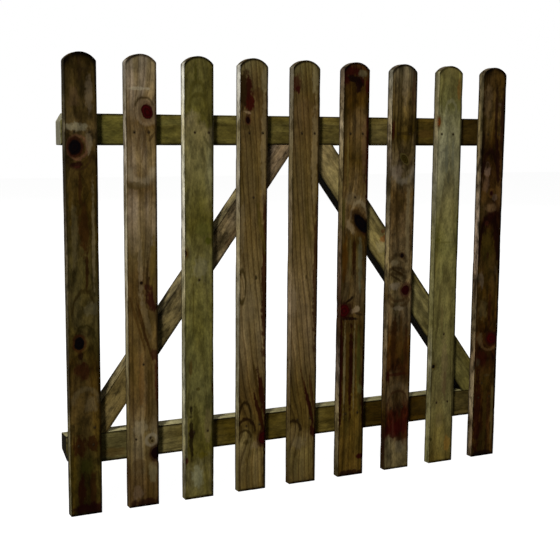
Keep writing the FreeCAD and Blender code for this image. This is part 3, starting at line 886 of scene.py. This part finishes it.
def tonesAlong(g, tones, height):
    # a colour ramp whose stops are heights on the board
    first, last = tones[0][0] * mm, tones[-1][0] * mm
    along = g.node("ShaderNodeMapRange", {"Value": height, "From Min": first, "From Max": last}).outputs[0]
    tone = g.node("ShaderNodeValToRGB", {0: along})
    stops = tone.color_ramp.elements
    while len(stops) < len(tones):
        stops.new(0.5)
    for stop, (place, *colour) in zip(stops, tones):
        stop.position = (place * mm - first) / (last - first)
        stop.color = paint(*colour)
    return tone.outputs[0]


def boardPlace(g, board):
    # the point on the board as it lies before it is turned, and masks for its sides and ends
    objectPlace = g.node("ShaderNodeTexCoord").outputs["Object"]
    placing = {"Vector": objectPlace, "Location": board["origin"], "Rotation": board["turn"]}
    place = g.node("ShaderNodeMapping", placing, vector_type="TEXTURE").outputs[0]
    normal = g.node("ShaderNodeNewGeometry").outputs["Normal"]
    turning = {"Vector": normal, "Rotation": tuple(-angle for angle in board["turn"])}
    across, deep, along = g.split(g.node("ShaderNodeMapping", turning, vector_type="VECTOR").outputs[0])
    side, end = [g.ramp(g.absolute(part), 0.6, 0.9) for part in (across, along)]
    return place, side, end


def knotMasks(g, place, wood, rag):
    # each knot with its masks, and how far all of them bend the rings
    lift = 0.0
    knots = []
    for spot in wood["knots"]:
        x, z = spot["at"]
        masks = g.group(knotGroup, vector=place, place=(x * mm, 0.0, z * mm), radius=spot["radius"] * mm,
                        stretch=spot["stretch"], tilt=math.radians(spot["tilt"]), rag=rag)
        knots.append((spot, masks))
        lift = g.add(lift, g.mul(masks["Lift"], spot["bend"] * mm))
    return knots, lift


def ringsAndBlotches(g, wood, colour, rings, fibre):
    colour = g.darken(g.mul(rings["Late"], wood["late"]), colour, paint(*wood["late shade"]))
    bright = 1.0
    for pattern, strength in (
            (rings["Band"], wood["band"]), (fibre["Streak"], wood["streak"]), (fibre["Fine"], wood["fine"]),
            (fibre["Mottle"], wood["mottle"]), (fibre["Speck"], woodFinish["speck"])):
        bright = g.mul(bright, g.ramp(pattern, 0.3, 0.7, 1.0 - strength, 1.0 + strength))
    colour = g.scaled(colour, bright)
    blotch = g.mul(g.ramp(fibre["Blotch"], 0.48, 0.68), wood["blotch"])
    colour = g.tint(blotch, colour, paint(*wood["blotch colour"]))
    warm, yellow = paint(*woodFinish["warm"]), paint(*woodFinish["yellow"])
    colour = g.darken(wood["hue"], colour, g.tint(g.ramp(fibre["Hue"], 0.38, 0.62), warm, yellow))
    return colour, bright


def stainsAndKnots(g, wood, colour, place, rag, bright, knots):
    worn = g.mix(0.5, 1.0, bright)
    for spot in wood["stains"]:
        (x, z), (halfWidth, halfHeight) = spot["at"], spot["size"]
        mask = g.group(stainGroup, vector=place, place=(x * mm, 0.0, z * mm),
                       size=(halfWidth * mm, mm, halfHeight * mm), tilt=math.radians(spot["tilt"]),
                       rag=rag, rim=spot["rim"], half=spot["half"])["Mask"]
        stained = g.scaled(paint(*spot["colour"])[:3], worn)
        colour = g.tint(g.mul(mask, spot["amount"]), colour, stained)
    for spot, masks in knots:
        if spot["buried"]:
            continue
        halo = g.mul(masks["Halo"], woodFinish["halo amount"])
        colour = g.darken(halo, colour, paint(*woodFinish["halo"]))
        colour = g.tint(g.mul(masks["Rim"], woodFinish["rim amount"]), colour, paint(*spot["rim"]))
        lines = g.mul(masks["Grain"], woodFinish["knot line amount"])
        core = g.tint(lines, paint(*spot["core"]), paint(*woodFinish["knot lines"]))
        colour = g.tint(masks["Core"], colour, core)
    return colour


def shadeAndGrimeMask(g, board, wood, place, fibre):
    # arrises, crowns and feet painted darker: partly dirt and preservative they took up, partly painted
    # shade on the rounded edges, most on the right arris, which faces away from the key light
    halfX, sizeZ = board["size"][0] / 2, board["size"][2]
    x, y, z = g.split(place)
    left, right = wood["edge shade"]
    leftFull, leftEnd = woodFinish["left shade and grime"]
    rightFull, rightEnd = woodFinish["right shade and grime"]
    border = g.larger(g.mul(g.ramp(x, leftEnd - halfX, leftFull - halfX), left),
                      g.mul(g.ramp(x, halfX - rightEnd, halfX - rightFull), right))
    if board["slot"] == "pale_wood":
        rise, amount = boardSizes["crown rise"], woodFinish["end shade and grime amount"]
        arcRadius = (halfX ** 2 + rise ** 2) / (2 * rise)
        fromArc = g.vector("LENGTH", g.join(x, 0.0, g.sub(z, sizeZ - arcRadius)))
        crown = g.ramp(fromArc, arcRadius - wood["crown border"] * mm, arcRadius - woodFinish["crown shade and grime"])
        crown = g.mul(crown, g.calc("GREATER_THAN", z, sizeZ - woodFinish["crown reach"]))
        footFull, footEnd = woodFinish["foot shade and grime"]
        border = g.larger(border, g.mul(crown, amount))
        border = g.larger(border, g.mul(g.ramp(z, footEnd, footFull), amount))
    return g.mul(border, g.ramp(fibre["Blotch"], 0.25, 0.55, 0.6, 1.0))


def nailStains(g, board, colour, place):
    # stained wood about each pair of nails, or the only nail, of a pale
    middleX, width = board["place"][0], board["size"][0]
    for node in nailNodes:
        heads = [head for head in nailSpots[node] if abs(head[0] - middleX) < width / 2]
        if heads:
            xs = [head[0] - middleX for head in heads]
            middle = ((min(xs) + max(xs)) / 2, 0.0, heads[0][2])
            mark = g.group(nailMarkGroup, vector=place, middle=middle, spread=(max(xs) - min(xs)) / 2,
                           radius=nailMark["radius"])["Mask"]
            colour = g.tint(g.mul(mark, nailMark["amount"]), colour, paint(*nailMark["colour"]))
    return colour


def sawnSidesAndPaintedShading(g, board, wood, colour, place, side, rag, bright, mottle):
    # sides in their own colours: partly cleaner sawn wood, partly painted light on the pales and rails and
    # painted shade on the braces; with a dark line towards the back
    x, y, z = g.split(place)
    sideToneWithPaintedShading = tonesAlong(g, wood["side"], g.add(z, g.mul(rag, woodFinish["side wander"])))
    sideShare = g.mul(side, g.ramp(mottle, 0.36, 0.5, 1.0 - wood["side patches"], 1.0))
    colour = g.tint(sideShare, colour, g.scaled(sideToneWithPaintedShading, bright))
    halfDepth = board["size"][1] / 2
    full, ends = woodFinish["back line reach"]
    backLine = g.mul(side, g.ramp(y, halfDepth - ends, halfDepth - full))
    backLine = g.mul(backLine, woodFinish["back line amount"])
    return g.tint(backLine, colour, paint(*woodFinish["back line"]))


def endGrain(g, wood, colour, end, late):
    rings = g.mul(late, woodFinish["end ring amount"])
    cut = g.tint(rings, paint(*wood["end"]), paint(*woodFinish["end rings"]))
    return g.tint(g.mul(end, woodFinish["end amount"]), colour, cut)


def woodMaterial(name, board, wood):
    material, g = newMaterial(name + "_wood")
    place, side, end = boardPlace(g, board)

    # noise about nought frays the borders; knots come before the rings, because they bend them
    shift = (wood["seed"], 0.0, 0.0)
    roundRag = g.sub(g.noise(g.moved(g.scaled(place, 90.0), shift), 3.0, 0.6), 0.5)
    longRag = g.sub(g.noise(g.moved(g.stretched(place, (170.0, 60.0, 34.0)), shift), 4.0, 0.65), 0.5)
    knots, lift = knotMasks(g, place, wood, roundRag)
    pithX, pithY = wood["pith"]
    leanX, leanY = wood["lean"]
    rings = g.group(ringGroup, vector=place, pithX=pithX * mm, pithY=pithY * mm, leanX=leanX, leanY=leanY,
                    ringWidth=wood["ring width"] * mm, waver=wood["waver"] * mm, lift=lift,
                    seed=wood["seed"])
    fibre = g.group(fibreGroup, vector=place, flow=rings["Flow"], seed=wood["seed"])

    wander = g.mul(g.sub(fibre["Blotch"], 0.5), woodFinish["tone wander"])
    colour = tonesAlong(g, wood["tones"], g.add(g.split(place)[2], wander))
    colour, bright = ringsAndBlotches(g, wood, colour, rings, fibre)
    colour = stainsAndKnots(g, wood, colour, place, g.add(longRag, roundRag), bright, knots)
    # painted shade and dirt on the arrises, crowns and feet, kept off the sides
    shadeAndGrime = g.mul(shadeAndGrimeMask(g, board, wood, place, fibre), g.sub(1.0, side))
    colour = g.darken(shadeAndGrime, colour, paint(*woodFinish["shadeAndGrime"]))
    if board["slot"] == "pale_wood":
        colour = nailStains(g, board, colour, place)
    cracks = g.mul(fibre["Crack"], woodFinish["crack amount"])
    colour = g.darken(cracks, colour, paint(*woodFinish["crack"]))
    colour = sawnSidesAndPaintedShading(g, board, wood, colour, place, side, longRag, bright, fibre["Mottle"])
    colour = endGrain(g, wood, colour, end, rings["Late"])

    height = g.add(g.mul(rings["Late"], 0.5), g.add(g.mul(fibre["Fine"], 0.7), g.mul(fibre["Crack"], -0.8)))
    for spot, masks in knots:
        height = g.add(height, g.mul(masks["Grain"], g.mul(masks["Core"], 0.5)))
    bump = g.node("ShaderNodeBump", {
        "Strength": woodFinish["bump"], "Distance": woodFinish["bump depth"], "Height": height}).outputs[0]
    unevenness = g.mul(g.sub(fibre["Fine"], 0.5), woodFinish["roughness wander"])
    surface = g.node("ShaderNodeBsdfPrincipled", {
        "Base Color": colour, "Roughness": g.add(woodFinish["roughness"], unevenness), "Normal": bump,
        "Specular IOR Level": woodFinish["specular"]})
    g.node("ShaderNodeOutputMaterial", {"Surface": surface.outputs[0]})
    return material


# grow the boards

for name, board in boards.items():
    wood = {**woodBasics, **boardWoods[name]}
    hollows = [(spot["at"][0] * mm, spot["at"][1] * mm - board["foot"], spot["radius"] * mm)
               for spot in wood["knots"] if spot["hollow"]]
    hollows += [nowhere] * (len(knotLabels) - len(hollows))
    width, thickness, length = board["size"]
    across, deep, along = board["cells"]
    piece = grown(name + "_board", boardTree, {
        "Width": width, "Thickness": thickness, "Length": length,
        "Cells Across": across + 1, "Cells Deep": deep + 1, "Cells Along": along + 1,
        "Seed": wood["seed"], "Place": board["place"], "Turn": board["turn"],
        "Material": woodMaterial(name, board, wood),
        **boardFinish, **board["shape"], **dict(zip(knotLabels, hollows))})
    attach(piece, "root")
    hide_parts(name)
    print("grown:", piece.name, len(piece.data.polygons), "faces")


# nails

nailShape = {
    "Sides": 14,
    "Head Radius": 2.0 * mm,
    "Head Depth": 1.2 * mm,
    "Shank Radius": 1.4 * mm,
    "Point Depth": 4 * mm,
    "Proud": 0.25 * mm,         # the head stands this far out of the wood
    "Rounded Share": 0.35,      # of the head's depth
    "Face Share": 0.72,         # of the head's radius, inside its rounding
    "Turn Step": 1.7,           # each nail is turned this much further than the one before
}
nailFinish = {
    "steel": (44, 34, 18), "tarnish": (24, 17, 8), "smooth": 0.6, "rough": 0.8, "specular": 0.02,
    "bump": 0.4, "bump depth": 0.2 * mm,
}


def buildNailTree():
    # one wire nail, set on every point of the mesh that comes in
    tree, g, entry, leave = newGroup("wireNails", "GeometryNodeTree", {
        "Geometry": geometry, "Length": number, **dict.fromkeys(nailShape, number), "Sides": wholeNumber,
        "Material": finish}, {"Geometry": geometry})
    headRadius, headDepth = entry["Head Radius"], entry["Head Depth"]
    shankRadius, pointDepth = entry["Shank Radius"], entry["Point Depth"]

    def moved(shape, offset):
        return g.node("GeometryNodeTransform", {"Geometry": shape, "Translation": offset}).outputs[0]

    def ring(radiusTop, radiusBottom, depth, start):
        cone = g.node("GeometryNodeMeshCone", {
            "Vertices": entry["Sides"], "Depth": depth,
            "Radius Top": radiusTop, "Radius Bottom": radiusBottom})
        return moved(cone.outputs[0], g.join(0.0, 0.0, start))

    rounding = g.mul(headDepth, entry["Rounded Share"])
    shankLength = g.sub(g.sub(entry["Length"], headDepth), pointDepth)
    joined = g.node("GeometryNodeJoinGeometry")
    for part in (ring(headRadius, headRadius, g.sub(headDepth, rounding), rounding),
                 ring(headRadius, g.mul(headRadius, entry["Face Share"]), rounding, 0.0),
                 ring(shankRadius, shankRadius, shankLength, headDepth),
                 ring(0.0, shankRadius, pointDepth, g.sub(entry["Length"], pointDepth))):
        g.feed(joined.inputs[0], part)
    flat = g.node("GeometryNodeSetShadeSmooth", {"Geometry": joined.outputs[0], "Shade Smooth": False})
    turned = g.node("GeometryNodeTransform", {
        "Geometry": flat.outputs[0], "Rotation": (-math.pi / 2, 0.0, 0.0)})
    sunk = moved(turned.outputs[0], g.join(0.0, g.mul(entry["Proud"], -1.0), 0.0))
    spin = g.join(0.0, g.mul(g.node("GeometryNodeInputIndex").outputs[0], entry["Turn Step"]), 0.0)
    driven = g.node("GeometryNodeInstanceOnPoints", {
        "Points": entry["Geometry"], "Instance": sunk, "Rotation": spin})
    finishTree(g, driven.outputs[0], entry, leave)
    return tree


def nailMaterial():
    material, g = newMaterial("dulled_nail_steel")
    place = g.node("ShaderNodeTexCoord").outputs["Object"]
    tarnish = g.ramp(g.noise(g.scaled(place, 900.0), 3.0, 0.6), 0.35, 0.65)
    bump = g.node("ShaderNodeBump", {
        "Strength": nailFinish["bump"], "Distance": nailFinish["bump depth"], "Height": tarnish}).outputs[0]
    surface = g.node("ShaderNodeBsdfPrincipled", {
        "Base Color": g.tint(tarnish, paint(*nailFinish["steel"]), paint(*nailFinish["tarnish"])),
        "Roughness": g.mix(tarnish, nailFinish["smooth"], nailFinish["rough"]),
        "Normal": bump, "Specular IOR Level": nailFinish["specular"]})
    g.node("ShaderNodeOutputMaterial", {"Surface": surface.outputs[0]})
    return material


nailTree, nailSteel = buildNailTree(), nailMaterial()
for node in nailNodes:
    points = bpy.data.meshes.new(node + "_points")
    points.from_pydata(nailSpots[node], [], [])
    low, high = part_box(node)
    values = {"Length": high.y - low.y, "Material": nailSteel, **nailShape}
    piece = grown(node + "_heads", nailTree, values, points)
    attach(piece, "root")
    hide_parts(node)
    print("driven:", piece.name, len(points.vertices), "nails")


# floor, light and camera

studio = {
    "floor reach": 14.0, "floor shade": 0.14, "floor glow": 0.95,
    "key place": (-4.6, -5.0, 7.2), "key size": 1.2, "key power": 1380.0,
    "back place": (3.2, 5.5, 4.6), "back size": 3.0, "back power": 300.0,
    "aim": (0.0, 0.0, 0.45), "fill strength": 0.12,
}


def seenDirectly(g):
    path = g.node("ShaderNodeLightPath").outputs
    return g.larger(g.larger(path["Is Camera Ray"], path["Is Glossy Ray"]), path["Is Transmission Ray"])


def floorMaterial():
    material, g = newMaterial("pale_floor")
    shade = studio["floor shade"]
    matt = g.node("ShaderNodeBsdfDiffuse", {"Color": (shade, shade, shade, 1.0)})
    glow = g.node("ShaderNodeEmission", {"Strength": g.mul(seenDirectly(g), studio["floor glow"])})
    both = g.node("ShaderNodeAddShader", {0: matt.outputs[0], 1: glow.outputs[0]})
    g.node("ShaderNodeOutputMaterial", {"Surface": both.outputs[0]})
    return material


def makeFloor():
    mesh = bpy.data.meshes.new("floor")
    reach = studio["floor reach"]
    corners = [(-reach, -reach, 0.0), (reach, -reach, 0.0), (reach, reach, 0.0), (-reach, reach, 0.0)]
    mesh.from_pydata(corners, [], [(0, 1, 2, 3)])
    mesh.materials.append(floorMaterial())
    floor = bpy.data.objects.new("floor", mesh)
    bpy.context.scene.collection.objects.link(floor)


def lightStudio():
    world = bpy.data.worlds.new("studio")
    bpy.context.scene.world = world
    world.use_nodes = True
    world.node_tree.nodes.clear()
    g = Graph(world.node_tree)
    strength = g.mix(seenDirectly(g), studio["fill strength"], 1.0)
    sky = g.node("ShaderNodeBackground", {"Color": (1.0, 1.0, 1.0, 1.0), "Strength": strength})
    g.node("ShaderNodeOutputWorld", {"Surface": sky.outputs[0]})

    for name in ("key", "back"):
        lamp = bpy.data.lights.new(name, "AREA")
        lamp.shape = "DISK"
        lamp.size = studio[name + " size"]
        lamp.energy = studio[name + " power"]
        light = bpy.data.objects.new(name, lamp)
        light.location = studio[name + " place"]
        aim = Vector(studio["aim"]) - light.location
        light.rotation_euler = aim.to_track_quat("-Z", "Y").to_euler()
        bpy.context.scene.collection.objects.link(light)


cameraSetting = {
    "place": (-1.057, -2.056, 0.7612),
    "turn right": 26.22, "tip down": 7.915, "roll": 0.51,
    "lens": 70.27, "sensor": 36.0,
}


def makeCamera():
    lens = bpy.data.cameras.new("camera")
    lens.lens = cameraSetting["lens"]
    lens.sensor_width = cameraSetting["sensor"]
    camera = bpy.data.objects.new("camera", lens)
    tip, turn = math.radians(90 - cameraSetting["tip down"]), -math.radians(cameraSetting["turn right"])
    roll = Matrix.Rotation(math.radians(cameraSetting["roll"]), 4, "Z")
    level = Euler((tip, 0.0, turn)).to_matrix().to_4x4()
    camera.matrix_world = Matrix.Translation(cameraSetting["place"]) @ level @ roll
    bpy.context.scene.collection.objects.link(camera)
    bpy.context.scene.camera = camera


makeFloor()
lightStudio()
makeCamera()
bpy.context.scene.view_settings.view_transform = "Standard"
print("studio set")
